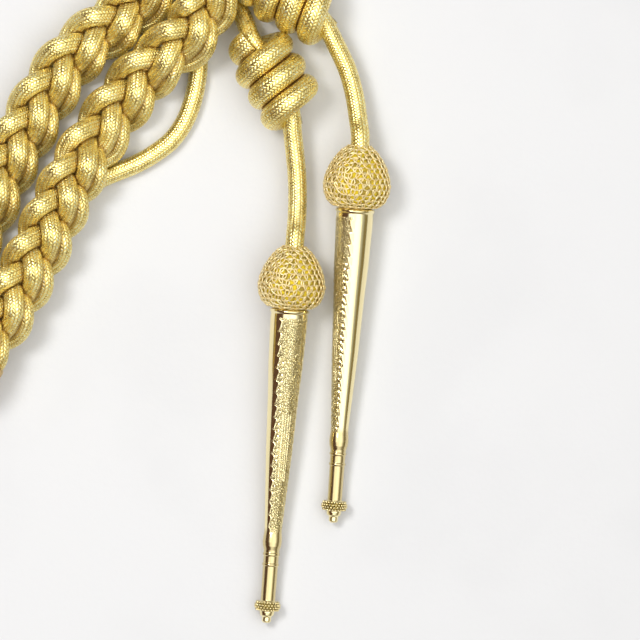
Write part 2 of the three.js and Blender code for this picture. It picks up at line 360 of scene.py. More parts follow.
class GeometryGraph(NodeGraph):
    """A Geometry Nodes group with named inputs, which replaces a piece's mesh with what it makes of it."""

    def __init__(self, name: str, kinds: dict[str, str]) -> None:
        """Starts the group.

        Args:
            name: the group's name.
            kinds: the socket type of each input besides the geometry and the material.
        """
        super().__init__(bpy.data.node_groups.new(name, "GeometryNodeTree"))
        face = self.tree.interface
        face.new_socket("Geometry", in_out="OUTPUT", socket_type="NodeSocketGeometry")
        kinds = {"Geometry": "NodeSocketGeometry", **kinds, "Material": "NodeSocketMaterial"}
        self.ids = {n: face.new_socket(n, in_out="INPUT", socket_type=k).identifier for n, k in kinds.items()}
        self.inputs = self.tree.nodes.new("NodeGroupInput").outputs

    def apply(self, made: Socket, piece: Piece, values: dict[str, object]) -> None:
        """Ends the group in a smooth painted mesh and bakes it into the piece.

        Args:
            made: the geometry that the group has made.
            piece: the object whose mesh goes in and is replaced.
            values: a value for each named input.
        """
        real = self.add("GeometryNodeRealizeInstances", {"Geometry": made})
        smooth = self.add("GeometryNodeSetShadeSmooth", {"Geometry": real})
        paint = {"Geometry": smooth, "Material": self.inputs["Material"]}
        self.close("NodeGroupOutput", "Geometry", self.add("GeometryNodeSetMaterial", paint))
        modifier = piece.modifiers.new("shape", "NODES")
        modifier.node_group = self.tree
        for name, value in values.items():
            modifier[self.ids[name]] = value
        bpy.context.view_layer.update()
        graph = bpy.context.evaluated_depsgraph_get()
        mesh = bpy.data.meshes.new_from_object(piece.evaluated_get(graph))
        piece.modifiers.clear()
        piece.data = mesh


class ShaderGraph(NodeGraph):
    """The node tree of a material or a world."""

    def __init__(self, owner: Material | bpy.types.World) -> None:
        """Starts on the owner's emptied tree."""
        owner.use_nodes = True
        super().__init__(owner.node_tree)
        self.owner = owner

    def math(self, operation: str, a: Value, b: Value = 0.0, c: Value = 0.0) -> Socket:
        """Adds a math node on one to three values."""
        return self.add("ShaderNodeMath", {0: a, 1: b, 2: c}, operation=operation)

    def plus(self, a: Value, b: Value) -> Socket:
        """Adds a sum."""
        return self.math("ADD", a, b)

    def times(self, a: Value, b: Value) -> Socket:
        """Adds a product."""
        return self.math("MULTIPLY", a, b)

    def ripple(self, phase: Value) -> Socket:
        """Adds a wave between 0 and 1 that repeats with every whole phase."""
        return self.plus(self.times(self.math("SINE", self.times(phase, 2 * math.pi)), 0.5), 0.5)

    def seam(self, fold: Value) -> Socket:
        """Adds the distance from a fold's nearer end, for a fold that runs from 0 to 1 and back."""
        return self.math("MINIMUM", fold, self.math("SUBTRACT", 1.0, fold))

    def remap(
        self, value: Value, low: float, high: float, to_low: float = 0.0, to_high: float = 1.0
    ) -> Socket:
        """Adds a smooth step from one range to another."""
        inputs = {"Value": value, "From Min": low, "From Max": high, "To Min": to_low, "To Max": to_high}
        return self.add("ShaderNodeMapRange", inputs, interpolation_type="SMOOTHSTEP")

    def mix(self, factor: Value, a: Value, b: Value, blend: str = "MIX") -> Socket:
        """Adds a colour mix."""
        inputs = {0: factor, 6: a, 7: b}
        return self.add("ShaderNodeMix", inputs, output=2, data_type="RGBA", blend_type=blend)

    def noise(self, vector: Value, scale: float, detail: float = 2.0) -> Socket:
        """Adds a noise texture and returns its value."""
        return self.add("ShaderNodeTexNoise", {"Vector": vector, "Scale": scale, "Detail": detail})

    def place(self) -> Socket:
        """The point in the object's own coordinates."""
        return self.add("ShaderNodeTexCoord", {}, output="Object")

    def axes(self, vector: Socket) -> tuple[Socket, ...]:
        """Splits a vector into its three values."""
        node = self.tree.nodes.new("ShaderNodeSeparateXYZ")
        self.tree.links.new(vector, node.inputs[0])
        return tuple(node.outputs)

    def uv(self) -> tuple[Socket, ...]:
        """The UV's two values."""
        return self.axes(self.add("ShaderNodeTexCoord", {}, output="UV"))[:2]

    def mark(self) -> Socket:
        """The mesh's "mark" attribute."""
        return self.add("ShaderNodeAttribute", {}, output="Fac", attribute_name="mark")

    def finish(self, inputs: dict, height: Socket, depth: float) -> Material:
        """Closes the graph with a principled surface.

        Args:
            inputs: the surface's inputs.
            height: the bump's height.
            depth: how deep the bump is, in metres.

        Returns:
            The finished material.
        """
        bump = self.add("ShaderNodeBump", {"Strength": 1.0, "Distance": depth, "Height": height})
        surface = self.add("ShaderNodeBsdfPrincipled", {**inputs, "Normal": bump})
        self.close("ShaderNodeOutputMaterial", "Surface", surface)
        return self.owner


@dataclass(frozen=True)
class CordFinish:
    """Gold wire braided round a core: columns of small slanting stitches that make herringbones.

    The pitch is millimetres from stitch to stitch, the depth metres, and the glints the share of stitches
    without a painted glint. Grooves are painted darker as shade; the mesh's mark paints shade between cords.
    """

    name: str
    columns: int = 16
    pitch: float = 1.05
    slant: float = 0.6
    # The ridge colour is the gold's own; deep and dark paint shade into the stitches' grooves, the glint
    # colour is a painted highlight, and the last two paint shade into the crevices between cords.
    light: tuple[float, ...] = (1.0, 0.86, 0.38, 1.0)
    deep: tuple[float, ...] = (0.80, 0.54, 0.11, 1.0)
    dark: tuple[float, ...] = (0.52, 0.38, 0.07, 1.0)
    painted_glint_colour: tuple[float, ...] = (1.0, 0.98, 0.70, 1.0)
    crevice_shade: tuple[float, ...] = (0.30, 0.15, 0.015, 1.0)
    crevice_shade_strength: float = 0.68
    roughness: float = 0.30
    depth: float = 0.00011
    glints: float = 0.55

    def material(self) -> Material:
        """Builds the material, whose UV holds millimetres along the cord and the share of the way round."""
        g = ShaderGraph(bpy.data.materials.new(self.name))
        along, around = g.uv()
        wobble = g.times(g.noise(g.place(), 260.0), 0.5)
        column = g.times(around, float(self.columns))
        fold = g.math("PINGPONG", column, 1.0)
        phase = g.plus(g.math("DIVIDE", along, self.pitch), g.times(fold, self.slant))
        shift = g.times(g.math("FLOOR", column), 0.5)
        phase = g.plus(g.plus(phase, shift), wobble)
        bead = g.math("POWER", g.ripple(phase), 0.55)
        seam = g.remap(g.seam(fold), 0.0, 0.32)
        height = g.times(bead, g.plus(g.times(seam, 0.8), 0.2))
        stitch = g.math("FLOOR", g.math("SUBTRACT", phase, 0.75))
        cell = g.add("ShaderNodeCombineXYZ", {0: stitch, 1: g.math("FLOOR", column), 2: 0.0})
        chance = g.add("ShaderNodeTexWhiteNoise", {"Vector": cell}, noise_dimensions="3D")
        # Painted highlight: pale glints painted into the base colour on the crests of some stitches, chosen
        # at random.
        glint = g.times(g.remap(chance, self.glints, 1.0), g.remap(height, 0.5, 0.9))
        patches = g.noise(g.place(), 170.0)
        # Painted shade: the grooves between stitches are painted a darker gold, darker still at random
        # stitches, while the crests keep the gold's own colour.
        painted_groove_shade = g.mix(g.remap(chance, 0.15, 0.45), self.dark, self.deep)
        tone = g.mix(g.remap(height, 0.06, 0.5), painted_groove_shade, self.light)
        shade = g.plus(g.times(chance, 0.26), g.times(patches, 0.2))
        shade = g.plus(shade, 0.83)
        grey = g.add("ShaderNodeCombineColor", {0: shade, 1: shade, 2: shade})
        colour = g.mix(glint, g.mix(1.0, tone, grey, "MULTIPLY"), self.painted_glint_colour)
        # Painted shade: the gold is darkened towards brown in the crevices where cords touch, as the mesh's
        # mark sets.
        colour = g.mix(g.times(g.mark(), self.crevice_shade_strength), colour, self.crevice_shade)
        rough = g.plus(g.times(chance, 0.12), self.roughness - 0.05)
        return g.finish({"Base Color": colour, "Metallic": 0.92, "Roughness": rough}, height, self.depth)


@dataclass(frozen=True)
class WireFinish:
    """The pale gold wire of the net."""

    name: str = "net_wire"
    colour: tuple[float, ...] = (1.0, 0.90, 0.56, 1.0)
    shadow: tuple[float, ...] = (0.96, 0.76, 0.34, 1.0)

    def material(self) -> Material:
        """Builds the material."""
        g = ShaderGraph(bpy.data.materials.new(self.name))
        patches = g.noise(g.place(), 900.0, 3.0)
        colour = g.mix(g.remap(patches, 0.35, 0.65), self.shadow, self.colour)
        return g.finish({"Base Color": colour, "Metallic": 0.55, "Roughness": 0.32}, patches, 0.00004)


@dataclass(frozen=True)
class SilkFinish:
    """The bright yellow silk padding under the net."""

    name: str = "yellow_core"
    colour: tuple[float, ...] = (1.0, 0.80, 0.03, 1.0)
    shadow: tuple[float, ...] = (0.42, 0.30, 0.05, 1.0)
    threads: float = 150.0

    def material(self) -> Material:
        """Builds the material, whose UV's second value goes round the cap."""
        g = ShaderGraph(bpy.data.materials.new(self.name))
        _, around = g.uv()
        height = g.ripple(g.times(around, self.threads))
        patches = g.noise(g.place(), 500.0)
        amount = g.plus(g.times(height, 0.2), g.remap(patches, 0.38, 0.60, 0.0, 0.8))
        colour = g.mix(amount, self.shadow, self.colour)
        return g.finish({"Base Color": colour, "Metallic": 0.25, "Roughness": 0.5}, height, 0.0001)


# The mark of brass that is tarnished all over; up to 1, a mark is how much of it is punched
TARNISHED = 2.0


@dataclass(frozen=True)
class BrassFinish:
    """Polished gilt brass, with a punched ground where the mesh's mark is set, and a duller shaft.

    The shaft's ends are millimetres along the tag.
    """

    name: str = "tag_brass"
    colour: tuple[float, ...] = (0.95, 0.83, 0.47, 1.0)
    tarnish: tuple[float, ...] = (0.36, 0.28, 0.08, 1.0)
    roughness: float = 0.12
    punch: float = 1500.0
    shaft: tuple[float, ...] = (0.70, 0.58, 0.30, 1.0)
    shaft_from: float = 94.5
    shaft_to: float = 118.0

    def material(self) -> Material:
        """Builds the material, whose UV holds millimetres along the tag from its cap's top."""
        g = ShaderGraph(bpy.data.materials.new(self.name))
        place = g.place()
        cells = {"Vector": place, "Scale": self.punch}
        punched = g.add("ShaderNodeTexVoronoi", cells, output="Distance", feature="DISTANCE_TO_EDGE")
        dots = g.remap(punched, 0.02, 0.2)
        mark = g.mark()
        smears = g.noise(place, 160.0, 4.0)
        dirt = g.times(g.math("SUBTRACT", 1.0, dots), g.times(mark, 0.8))
        dirt = g.math("MAXIMUM", dirt, g.math("SUBTRACT", mark, 1.0))
        along, _ = g.uv()
        below = g.remap(along, self.shaft_from - 1.0, self.shaft_from + 1.0)
        duller = g.times(below, g.remap(along, self.shaft_to, self.shaft_to + 0.5, 1.0, 0.0))
        colour = g.mix(dirt, g.mix(duller, self.colour, self.shaft), self.tarnish)
        rough = g.plus(g.times(smears, 0.12), self.roughness - 0.05)
        rough = g.plus(rough, g.times(duller, 0.08))
        rough = g.plus(rough, g.times(mark, 0.10))
        pits = g.times(dots, mark)
        height = g.plus(pits, g.times(g.noise(place, 900.0), 0.05))
        return g.finish({"Base Color": colour, "Metallic": 1.0, "Roughness": rough}, height, 0.00011)


@dataclass(frozen=True)
class BraidFinish:
    """Flat woven gold braid, for the plain ends."""

    name: str = "plain_braid"
    # light is the ridges' gold; deep is painted shade for the weave's grooves.
    light: tuple[float, ...] = (0.88, 0.68, 0.28, 1.0)
    deep: tuple[float, ...] = (0.38, 0.20, 0.03, 1.0)
    pitch: float = 1.3

    def material(self) -> Material:
        """Builds the material: herringbone columns across UVs in millimetres."""
        g = ShaderGraph(bpy.data.materials.new(self.name))
        along, around = g.uv()
        fold = g.math("PINGPONG", g.math("DIVIDE", around, 2.2), 1.0)
        phase = g.plus(g.math("DIVIDE", along, self.pitch), g.times(fold, 0.9))
        height = g.times(g.ripple(phase), g.remap(g.seam(fold), 0.0, 0.2, 0.4, 1.0))
        patches = g.noise(g.place(), 240.0)
        # Painted shade: the colour runs from dark brown in the weave's grooves to pale gold on its ridges,
        # and random patches add the braid's own uneven tone.
        tone = g.plus(g.times(height, 0.8), g.times(patches, 0.3))
        colour = g.mix(tone, self.deep, self.light)
        return g.finish({"Base Color": colour, "Metallic": 0.85, "Roughness": 0.4}, height, 0.00022)


@dataclass(frozen=True)
class FloorFinish:
    """The pale, faintly mottled sheet that the object lies on."""

    name: str = "pale_sheet"
    colour: tuple[float, ...] = (0.755, 0.765, 0.785, 1.0)
    mottle: tuple[float, ...] = (0.73, 0.74, 0.76, 1.0)

    def material(self) -> Material:
        """Builds the material."""
        g = ShaderGraph(bpy.data.materials.new(self.name))
        place = g.place()
        colour = g.mix(g.remap(g.noise(place, 14.0, 4.0), 0.42, 0.68), self.colour, self.mottle)
        return g.finish({"Base Color": colour, "Roughness": 0.75}, g.noise(place, 420.0, 3.0), 0.00008)


# The sheet's frame


@dataclass(frozen=True)
class Sheet:
    """Places on the laying-out sheet, in millimetres, as points of the part's own frame, in metres."""

    shift: tuple[float, float, float]

    @classmethod
    def from_frame(cls) -> "Sheet":
        """Finds the sheet's place from the outer collar of the CAD model."""
        low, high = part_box("outer_collar")
        middle = (low + high) / 2
        return cls(tuple(middle[k] - COLLAR_ON_SHEET[k] * MM for k in range(3)))

    def place(self, points: Points) -> Points:
        """Turns sheet millimetres into metres in the part's frame."""
        return np.asarray(points, float) * MM + np.array(self.shift)


# Sub-assemblies

OUTER_LINE = (
    (68.3, 26.0), (67.7, 12.0), (67.0, -1.7), (60.7, -12.0), (48.7, -22.0), (39.7, -32.7),
    (31.3, -44.7), (24.0, -57.0), (18.0, -69.0), (12.3, -81.3), (6.3, -93.3), (-0.3, -105.0),
    (-8.3, -115.7),
)
INNER_LINE = (
    (51.6, 12.8), (45.7, 0.8), (35.4, -7.7), (24.0, -17.0), (15.0, -29.1), (7.7, -41.9), (1.0, -54.3),
    (-5.0, -67.0), (-11.0, -79.7), (-17.9, -91.7), (-25.7, -102.1),
)
CORD = 6.2
# The height of a cord's middle where it lies on the floor
ON_FLOOR = CORD / 2 + 0.05
# The share of a line over which its direction is measured
NUDGE = 1e-4


@dataclass(frozen=True)
class Plait:
    """A three-strand plait; each strand is two cords, one over the other, that fan out at the outer edge.

    A bight is one turn of a strand at the outer edge; places along the plait are counted in bights. The bow
    is where the plait comes down before the plain cord bows out, and where it rises over it again.
    """

    name: str
    line: tuple[tuple[float, float], ...]
    first: float
    start: float
    end: float
    ride_height: float = 0.0
    bow: tuple[tuple[float, float], ...] = ((1.15, 2.6), (3.7, 5.0))
    strands: int = 3
    width: float = 6.6
    height: float = 4.5
    swing: float = 5.2
    weave: float = 3.7
    middle: float = 9.9
    fan: float = math.radians(60)
    samples: int = 900
    step: float = 0.42
    sides: int = 28

    def ride(self, bight: Points) -> Points:
        """How far the plait rides over the plain cord beneath it."""
        before, after = self.bow
        return self.ride_height * np.maximum(1 - smoothstep(bight, *before), smoothstep(bight, *after))

    def cord(self, bight: Points, strand: int, lower: bool) -> Points:
        """The middle of one cord, on the sheet.

        Args:
            bight: the places along the plait.
            strand: which strand the cord is in.
            lower: whether it is the strand's lower cord.

        Returns:
            A point for each place.
        """
        spans = len(self.line) - 1
        share = (bight - self.first) / spans
        at = spline(self.line, share)
        heading = unit(spline(self.line, share + NUDGE) - spline(self.line, share - NUDGE))
        across = np.cross(UP, heading)
        phase = 2 * np.pi * (bight - strand) / self.strands
        fan = self.fan * (0.5 + 0.5 * np.cos(phase))
        out = self.swing * np.cos(phase)
        rise = self.middle - self.weave * np.sin(2 * phase) + self.ride(bight)
        if lower:
            out = out + self.height * np.sin(fan)
            rise = rise - self.height * np.cos(fan)
        return at + across * out[:, None] + UP * rise[:, None]

    def build(self, sheet: Sheet, material: Material) -> list[Piece]:
        """Makes the strands.

        Args:
            sheet: where the sheet lies.
            material: the cord's material.

        Returns:
            An object for each strand.
        """
        bight = np.linspace(self.start, self.end, self.samples)
        skins, along = [], []
        for strand in range(self.strands):
            for lower in (False, True):
                path = respaced(self.cord(bight, strand, lower), self.step)[0]
                half_width = np.full(len(path), self.width / 2)
                half_height = np.full(len(path), self.height / 2)
                skins.append(swept_rings(path, *level_frames(path), half_width, half_height, self.sides))
                along.append(lengths(path))
        # The mark paints shade into the crevices where the cords' skins touch.
        near = nearness(skins, along)
        made = []
        for strand in range(self.strands):
            data = MeshData()
            for k in (2 * strand, 2 * strand + 1):
                data.add_tube(sheet.place(skins[k]), along[k], marks=near[k])
            piece = data.build(f"{self.name}_strand_{strand + 1}", material)
            made.append(stand_for(piece, self.name))
        return made


@dataclass(frozen=True)
class SingleCord:
    """One gold cord along a route on the sheet."""

    name: str
    route: tuple[tuple[float, float, float], ...]
    diameter: float = CORD
    samples: int = 1500
    step: float = 0.4
    sides: int = 40

    def path(self) -> Points:
        """The cord's middle line on the sheet."""
        shares = np.linspace(0, 1, self.samples)
        return respaced(spline(self.route, shares, centripetal=True), self.step)[0]

    def build(self, sheet: Sheet, material: Material) -> Piece:
        """Makes the cord and stands it for its CAD node."""
        path = self.path()
        radius = np.full(len(path), self.diameter / 2)
        rings = swept_rings(path, *level_frames(path), radius, radius, self.sides)
        data = MeshData()
        data.add_tube(sheet.place(rings), lengths(path))
        piece = data.build(f"{self.name}_braided", material)
        return stand_for(piece, self.name)

    def declare(
        self, piece: Piece, sheet: Sheet, far_end: str, with_pieces: Sequence[Piece] = ()
    ) -> None:
        """Args:
            piece: the cord's object; not used.
            sheet: where the sheet lies.
            far_end: what the cord ends in; not used.
            with_pieces: the pieces that hang on the cord; not used.
        """
        path = sheet.place(self.path())


@dataclass(frozen=True)
class Knot:
    """A barrel knot: fat wraps of cord round the tail cord, their ends tucked in.

    The start, the end and the tucks are counted in turns of the wraps.
    """

    name: str
    at: tuple[float, float]
    heading: tuple[float, float]
    lead: float = 8.1
    radius: float = 11.5
    skew: float = 0.3
    start: float = -0.72
    end: float = 2.78
    core: float = CORD / 2 + 0.3
    tuck: float = 3.4
    tuck_in: float = 0.55
    tuck_out: float = 0.3
    overlap: float = 0.1
    samples: int = 1400
    step: float = 0.4
    sides: int = 44

    def axis(self) -> tuple[Points, Points, Points]:
        """The axis's direction, the level direction to its right side, and the point it is measured from."""
        heading = unit(np.array([*self.heading, 0.0]))
        return heading, -np.cross(UP, heading), np.array([*self.at, self.radius])

    def on_axis(self, turn: float) -> tuple[float, float, float]:
        """The point of the axis at a turn of the wraps."""
        heading, _, at = self.axis()
        return tuple(at + heading * self.lead * turn)

    def build(self, sheet: Sheet, material: Material) -> Piece:
        """Makes the wraps and stands them for the knot's CAD node."""
        heading, side, at = self.axis()
        turn = np.linspace(self.start, self.end, self.samples)
        first = 1 - smoothstep(turn, self.start, self.start + self.tuck_in)
        tucked = np.maximum(first, smoothstep(turn, self.end - self.tuck_out, self.end))
        thick = self.radius - self.core - self.tuck * tucked
        angle = 2 * np.pi * turn
        out = -side * np.cos(angle)[:, None] + UP * np.sin(angle)[:, None]
        advance = self.lead * (turn - 0.25) + self.skew * np.cos(angle)
        path = at + heading * advance[:, None] + out * (self.core + thick / 2)[:, None]
        path, out, thick = respaced(path, self.step, out, thick)
        out = unit(out)
        along = unit(np.gradient(path, axis=0))
        flat = unit(np.cross(out, along))
        width = np.full(len(path), (self.lead + self.overlap) / 2)
        rings = swept_rings(path, flat, out, width, thick / 2, self.sides)
        data = MeshData()
        # The mark paints shade into the crevices between neighbouring wraps.
        data.add_tube(sheet.place(rings), lengths(path), marks=nearness([rings], [lengths(path)])[0])
        piece = data.build(f"{self.name}_wraps", material)
        return stand_for(piece, self.name)


# Net caps and tags: lengths and radii, then rows of shares of a length and of a radius
CAP_LENGTH = 20.3
CAP_RADIUS = 11.3
TAG_LENGTH = 105.3
RIM_RADIUS = 6.6
BUTTON_RADIUS = 4.45
# How far a tail cord runs on inside its net cap
INTO_CAP = 14.0
CAP_ROWS = (
    (0.0, 0.36), (0.07, 0.53), (0.18, 0.69), (0.34, 0.86), (0.5, 0.96), (0.63, 1.0), (0.77, 0.97),
    (0.9, 0.87), (0.98, 0.7), (1.0, 0.5),
)
TAG_ROWS = (
    (0.0, 0.8), (0.003, 0.97), (0.0075, 1.0), (0.012, 0.97), (0.015, 0.93), (0.038, 0.945),
    (0.177, 0.88), (0.278, 0.785), (0.462, 0.665), (0.563, 0.57), (0.665, 0.47), (0.7, 0.44),
    (0.712, 0.445), (0.728, 0.475), (0.742, 0.485), (0.755, 0.46), (0.768, 0.4), (0.776, 0.392),
    (0.7785, 0.425), (0.7835, 0.425), (0.786, 0.388), (0.809, 0.384), (0.8115, 0.42), (0.8165, 0.42),
    (0.819, 0.38), (0.93, 0.365),
)
BUTTON_ROWS = (
    (0.9305, 0.66), (0.9335, 0.74), (0.939, 0.84), (0.9465, 0.87), (0.954, 0.84), (0.96, 0.74),
    (0.9605, 0.62), (0.963, 0.55), (0.966, 0.56), (0.976, 0.5), (0.98, 0.37), (0.982, 0.34),
    (0.995, 0.34), (1.0, 0.24),
)
BEAD_ROWS = ((0.9352, 0.83), (0.9428, 0.915), (0.9504, 0.915), (0.958, 0.83))
# Where the cap is widest and the button's middle lies: what a cap and its tag rest on
CAP_WIDEST = 0.63
BUTTON_MIDDLE = 0.9465


def turned(rows: Sequence[tuple[float, float]], radius: float, share: Points) -> Points:
    """The radius of a turned outline at shares of its length, straight between its rows."""
    return radius * np.interp(share, [row[0] for row in rows], [row[1] for row in rows])


@dataclass(frozen=True)
class TagAxis:
    """The common axis of a net cap and its tag, from the cap's top to the tag's tip."""

    cap_top: tuple[float, float]
    tip: tuple[float, float]

    def frame(self) -> tuple[Points, Points, Points, Points]:
        """The cap's top, the heading, the level direction to its left, and the direction above it."""
        level = unit(np.array([*self.tip, 0.0]) - np.array([*self.cap_top, 0.0]))
        rests = CAP_LENGTH * CAP_WIDEST
        fall = (CAP_RADIUS - BUTTON_RADIUS) / (CAP_LENGTH + TAG_LENGTH * BUTTON_MIDDLE - rests)
        heading = unit(np.array([level[0], level[1], -fall]))
        across = unit(np.cross(UP, heading))
        top = np.array([*self.cap_top, CAP_RADIUS + fall * rests])
        return top, heading, across, np.cross(heading, across)

    def ring(self, s: Points, radius: Points, turn: Points) -> Points:
        """Points round the axis.

        Args:
            s: distances along the axis, one for each ring.
            radius: the radius at each ring and turn, or at each ring.
            turn: angles round the axis from above it, towards its left.

        Returns:
            The points, by ring and turn.
        """
        top, heading, across, above = self.frame()
        radius = radius if radius.ndim == 2 else np.repeat(radius[:, None], len(turn), axis=1)
        out = above * np.cos(turn)[:, None] + across * np.sin(turn)[:, None]
        return top + heading * s[:, None, None] + out[None] * radius[..., None]


@dataclass(frozen=True)
class LoopNet:
    """A wire net over a cap: each row is one wire that curls into a ring at every step round the cap.

    A ring reaches curl to each side of its middle and tall above and below it. The wire passes over itself by
    cross, and the rings' lower halves lie deeper by dip.
    """

    name: str
    axis: TagAxis
    spacing: float = 2.45
    row: float = 1.84
    curl: float = 1.12
    tall: float = 1.16
    cross: float = 0.28
    dip: float = 0.10
    wire: float = 0.24
    wire_sides: int = 6
    sunk: float = 0.42
    first_row: float = 0.9
    uneven: float = 0.32
    leaning: float = 0.85
    loop_points: int = 16
    fewest: int = 7
    seed: int = 7

    def rows(self) -> list[Points]:
        """The middle line of each row's wire, on the sheet; every row closes on itself."""
        dice = np.random.default_rng(self.seed)
        s = np.linspace(-0.2, CAP_LENGTH + 0.1, 800)
        radius = turned(CAP_ROWS, CAP_RADIUS, s / CAP_LENGTH) - self.sunk
        along = lengths(np.column_stack([s, radius]))
        top, heading, across, above = self.axis.frame()
        made = []
        for k, middle in enumerate(np.arange(self.first_row, along[-1] - 0.4, self.row)):
            girth = 2 * np.pi * np.interp(middle, along, radius)
            count = max(self.fewest, int(round(girth / self.spacing)))
            t = 2 * np.pi * np.arange(count * self.loop_points) / self.loop_points
            step = 2 * np.pi / count
            size = 1 + self.uneven * (np.repeat(dice.random(count), self.loop_points) - 0.5)
            tilt = self.leaning * (np.repeat(dice.random(count), self.loop_points) - 0.5)
            beside = -self.curl * size * np.sin(t) + tilt * np.cos(t)
            down = -self.tall * size * np.cos(t) + tilt * np.sin(t)
            lift = self.cross * np.sin(t) + self.dip * np.cos(t)
            place = np.clip(middle + down, 0.0, along[-1])
            here, r = np.interp(place, along, s), np.interp(place, along, radius)
            turn = step * (t / (2 * np.pi) + 0.5 * (k % 2)) + beside / np.maximum(r, 1.0)
            out = above * np.cos(turn)[:, None] + across * np.sin(turn)[:, None]
            made.append(top + heading * here[:, None] + out * (r + lift)[:, None])
        return made

    def build(self, sheet: Sheet, material: Material) -> Piece:
        """Makes the net as one mesh."""
        rows = self.rows()
        edges, first = [], 0
        for row in rows:
            edges += [(first + i, first + (i + 1) % len(row)) for i in range(len(row))]
            first += len(row)
        mesh = bpy.data.meshes.new(f"{self.name}_net")
        mesh.from_pydata(sheet.place(np.vstack(rows)).tolist(), edges, [])
        piece = placed(f"{self.name}_net", mesh)
        kinds = {"Wire Radius": "NodeSocketFloat", "Wire Sides": "NodeSocketInt"}
        g = GeometryGraph(f"{self.name}_wire", kinds)
        curve = g.add("GeometryNodeMeshToCurve", {"Mesh": g.inputs["Geometry"]})
        ring = {"Radius": g.inputs["Wire Radius"], "Resolution": g.inputs["Wire Sides"]}
        section = g.add("GeometryNodeCurvePrimitiveCircle", ring)
        tube = g.add("GeometryNodeCurveToMesh", {"Curve": curve, "Profile Curve": section})
        values = {"Wire Radius": self.wire * MM, "Wire Sides": self.wire_sides, "Material": material}
        g.apply(tube, piece, values)
        LOG.info("%s: %d rows, %d faces", piece.name, len(rows), len(piece.data.polygons))
        return stand_for(piece, self.name)


@dataclass(frozen=True)
class NetCap:
    """An acorn-shaped padded cap with its wire net."""

    name: str
    axis: TagAxis
    under_net: float = 1.05
    rings: int = 60
    sides: int = 72

    def build(self, sheet: Sheet, core: Material, wire: Material) -> tuple[Piece, Piece]:
        """Makes the padded core and the net over it."""
        share = np.linspace(0.0, 1.0, self.rings)
        radius = turned(CAP_ROWS, CAP_RADIUS, share) - self.under_net
        turn = 2 * np.pi * np.arange(self.sides) / self.sides
        data = MeshData()
        data.add_tube(sheet.place(self.axis.ring(share * CAP_LENGTH, radius, turn)), share * CAP_LENGTH)
        piece = stand_for(data.build(f"{self.name}_core", core), self.name)
        return piece, LoopNet(self.name, self.axis).build(sheet, wire)


def bell(offset: Points, width: float) -> Points:
    """A bell curve, 1 at no offset."""
    return np.exp(-((offset / width) ** 2))


def stretch(s: Points, rise: tuple[float, float], fall: tuple[float, float]) -> Points:
    """A smooth stretch, 0 before the rise, 1 between rise and fall, and 0 after it."""
    return smoothstep(s, *rise) * (1 - smoothstep(s, *fall))


@dataclass(frozen=True)
class Engraving:
    """The ornament of a tag's strip.

    Lengths and heights are millimetres; places across the strip are shares of half its width.
    """

    whole: tuple[tuple[float, float], ...] = ((2.6, 3.6), (73.5, 75.5))
    leaf: float = 4.1
    leaf_edge: float = 0.70
    leaf_swell: float = 0.22
    vein: float = 2.05
    veined: tuple[float, float] = (14.0, 20.0)
    ruled: tuple[tuple[float, float], ...] = ((34.5, 35.5), (57.0, 58.0))
    rules: tuple[float, ...] = (-0.13, 0.05, 0.23)
    stars: tuple[float, ...] = (40.0, 52.7)
    star_middle: float = 0.05
    hatched: tuple[tuple[float, float], ...] = ((58.5, 59.5), (72.5, 73.5))
    hatch: float = 3.2
    ground: float = 0.07
    vein_height: float = 0.13
    border_height: float = 0.10
    cut_depth: float = 0.20

    def star(self, s: Points, v: Points, middle: float) -> Points:
        """Three strokes that cross at a place on the middle rule."""
        along, aside = s - middle, (v - self.star_middle) * 4.2
        return sum(bell(aside - lean * along, 0.22) for lean in (-1, 0, 1)) * np.exp(-((along / 1.9) ** 4))

    def relief(self, s: Points, v: Points) -> tuple[Points, Points]:
        """The engraving's height, and where its ground is punched.

        Args:
            s: distances along the tag, by ring.
            v: places across the strip, by turn.

        Returns:
            The height and the punched mark, both by ring and turn.
        """
        across = np.abs(v)
        leaf = (s / self.leaf) % 1.0
        edge = self.leaf_edge + self.leaf_swell * leaf**1.4 * (1 - smoothstep(leaf, 0.82, 1.0))
        whole = stretch(s, *self.whole)
        inside = smoothstep(edge - across, -0.02, 0.05) * whole
        border = bell(across - edge, 0.045) * whole
        veins = 0.5 + 0.5 * np.sin(2 * np.pi * (s / self.vein - 1.5 * across))
        veins = veins * smoothstep(across, 0.36, 0.5) * inside * smoothstep(s, *self.veined)
        ruled = stretch(s, *self.ruled)
        lines = sum(bell(v - middle, 0.035) for middle in self.rules) * ruled
        stars = sum(self.star(s, v, middle) for middle in self.stars)
        zigzag = np.abs(((s / self.hatch) % 1.0) - 0.5) * 4 - 1
        hatch = bell(v * 2.6 - zigzag, 0.3) + bell(v * 2.6 + zigzag, 0.3)
        hatch = hatch * stretch(s, *self.hatched) * (across < 0.5)
        cut = np.clip(lines + stars + hatch, 0, 1)
        height = self.vein_height * veins + self.border_height * border
        height = height - self.ground * inside - self.cut_depth * cut
        mark = np.clip(inside * (1 - 0.55 * veins) - border, 0, 1) * (1 - 0.5 * ruled * (across < 0.33))
        return height, mark


